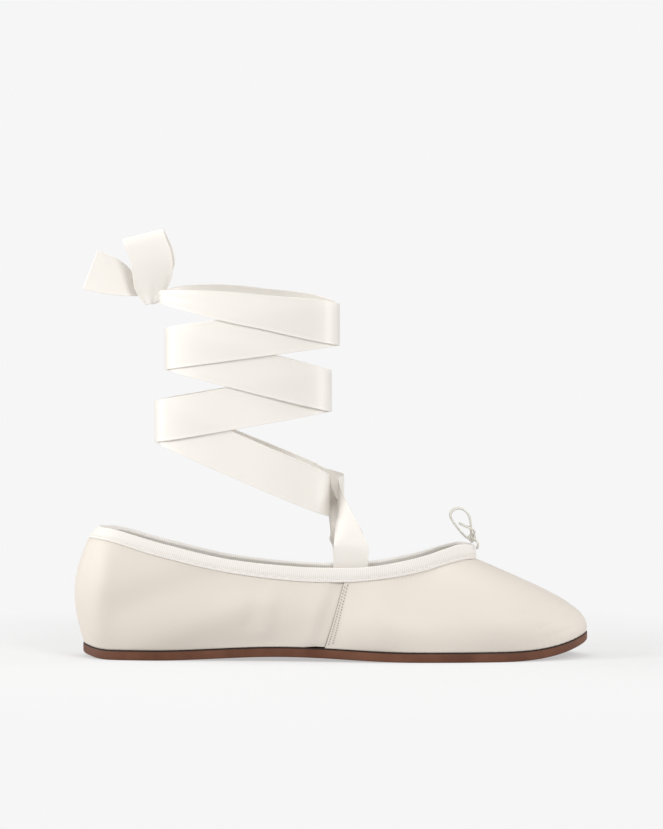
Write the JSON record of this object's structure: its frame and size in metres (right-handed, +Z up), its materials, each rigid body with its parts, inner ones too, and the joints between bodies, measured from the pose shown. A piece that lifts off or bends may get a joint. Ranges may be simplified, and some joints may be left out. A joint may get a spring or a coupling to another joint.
{
  "type": "ballet slipper",
  "caption": "Flat satin ballet slipper with a leather sole, ribbed topline binding, throat drawstring bow and ribbons wound in a cuff for the ankle and tied behind.",
  "frame": {"origin": "on the ground, below the middle of the shoe's length and width", "axes": "+X from heel to toe, +Y to the medial side of a right shoe, +Z up"},
  "size_m": [0.2455, 0.0806, 0.2041],
  "materials": {
    "satin": "duchess satin, soft sheen",
    "binding": "ribbed grosgrain",
    "ribbon": "satin ribbon",
    "lining": "cotton drill",
    "cord": "thin round cord",
    "thread": "sewing thread",
    "sole_leather": "waxed edge, matte",
    "sock_leather": "soft, matte",
    "board": "pressed fibre board",
    "foam": "open cell foam"
  },
  "bodies": {
    "shoe": {"outsole": "sole_leather", "bottom_filler": "foam", "insole_board": "board", "heel_cushion": "foam", "sock_lining": "sock_leather", "vamp": "satin", "quarter": "satin", "vamp_lining": "lining", "quarter_lining": "lining", "heel_counter": "board", "toe_puff": "board", "topline_binding": "binding", "binding_stitching": "thread", "lateral_seam_stitching": "thread", "medial_seam_stitching": "thread", "drawstring": "cord", "lateral_ribbon_tab": "ribbon", "medial_ribbon_tab": "ribbon", "ribbon_tack_stitching": "thread"},
    "ankle_cuff": {"lateral_ribbon": "ribbon", "medial_ribbon": "ribbon", "ribbon_knot": "ribbon"},
    "bow_loops": {"ribbon_loops": "ribbon"},
    "bow_tails": {"ribbon_tails": "ribbon"},
    "throat_bow": {"drawstring_knot": "cord", "drawstring_loops": "cord", "drawstring_ends": "cord"}
  },
  "joints": [
    {"name": "cuff_tilt", "type": "hinge", "parent": "shoe", "child": "ankle_cuff", "pos_m": [0.009, 0, 0.046], "axis": [0, 1, 0], "range_deg": [-12, 20]},
    {"name": "loops_swing", "type": "hinge", "parent": "ankle_cuff", "child": "bow_loops", "pos_m": [-0.0855, 0, 0.1728], "axis": [0, 1, 0], "range_deg": [-30, 15]},
    {"name": "tails_swing", "type": "hinge", "parent": "ankle_cuff", "child": "bow_tails", "pos_m": [-0.0855, 0, 0.1728], "axis": [0, 1, 0], "range_deg": [-75, 0]},
    {"name": "throat_bow_flop", "type": "hinge", "parent": "shoe", "child": "throat_bow", "pos_m": [0.0672, 0, 0.0562], "axis": [0, 1, 0], "range_deg": [-30, 50]}
  ]
}
